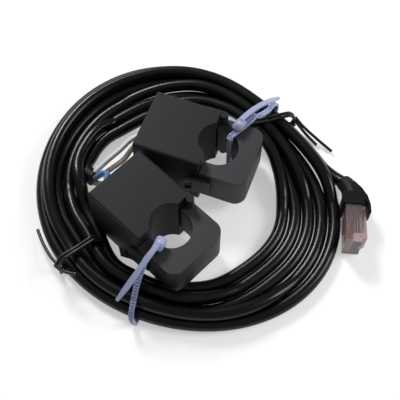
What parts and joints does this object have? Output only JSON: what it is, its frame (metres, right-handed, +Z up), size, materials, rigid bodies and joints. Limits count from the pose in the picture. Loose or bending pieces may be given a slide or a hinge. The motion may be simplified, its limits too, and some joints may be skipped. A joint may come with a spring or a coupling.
{
  "type": "split-core current transformer pair",
  "caption": "Two black split-core current transformers with hinged snap caps, wired to a coiled black data cable with a clear modular plug, held by translucent zip ties.",
  "frame": {"origin": "centre of the two transformers' bounding box, on the table they stand on", "axes": "+Z up, along the two windows and hinges; +Y towards the back of the set, its longest side; +X to the right, where the plug lies"},
  "size_m": [0.1367, 0.1247, 0.027],
  "materials": {
    "housing_plastic": "fine grained",
    "cap_plastic": "fine grained",
    "ferrite": "ground",
    "bobbin_plastic": "moulded",
    "copper": "enamelled",
    "steel": "drawn",
    "white_lead": "satin",
    "cream_lead": "satin",
    "blue_lead": "satin",
    "cable_jacket": "satin",
    "boot_rubber": "satin",
    "clear_plastic": "clear",
    "gold": "plated",
    "tie_nylon": "translucent",
    "twist_tie_black": "satin"
  },
  "bodies": {
    "base": {"housing_a": "housing_plastic", "housing_b": "housing_plastic", "rear_cover_a": "housing_plastic", "rear_cover_b": "housing_plastic", "fixed_core_a": "ferrite", "fixed_core_b": "ferrite", "bobbin_a": "bobbin_plastic", "bobbin_b": "bobbin_plastic", "winding_a": "copper", "winding_b": "copper", "hinge_pins_a": "steel", "hinge_pins_b": "steel", "lead_a_white": "white_lead", "lead_a_cream": "cream_lead", "lead_b_cream": "cream_lead", "lead_b_blue": "blue_lead", "cable_coil": "cable_jacket", "plug_lead": "cable_jacket", "plug_boot": "boot_rubber", "jacket_sleeve": "boot_rubber", "plug_body": "clear_plastic", "plug_contacts": "gold", "zip_tie_a": "tie_nylon", "zip_tie_b": "tie_nylon", "twist_tie_left": "twist_tie_black", "twist_tie_right": "twist_tie_black"},
    "cap_a_body": {"cap_a": "cap_plastic", "moving_core_a": "ferrite", "core_spring_a": "steel"},
    "cap_b_body": {"cap_b": "cap_plastic", "moving_core_b": "ferrite", "core_spring_b": "steel"}
  },
  "joints": [
    {"name": "cap_a_hinge", "type": "hinge", "parent": "base", "child": "cap_a_body", "pos_m": [0.01864, 0.02756, 0.0135], "axis": [0, 0, 1], "range_deg": [0, 10]},
    {"name": "cap_b_hinge", "type": "hinge", "parent": "base", "child": "cap_b_body", "pos_m": [0.00507, -0.01065, 0.0135], "axis": [0, 0, 1], "range_deg": [0, 70]}
  ]
}
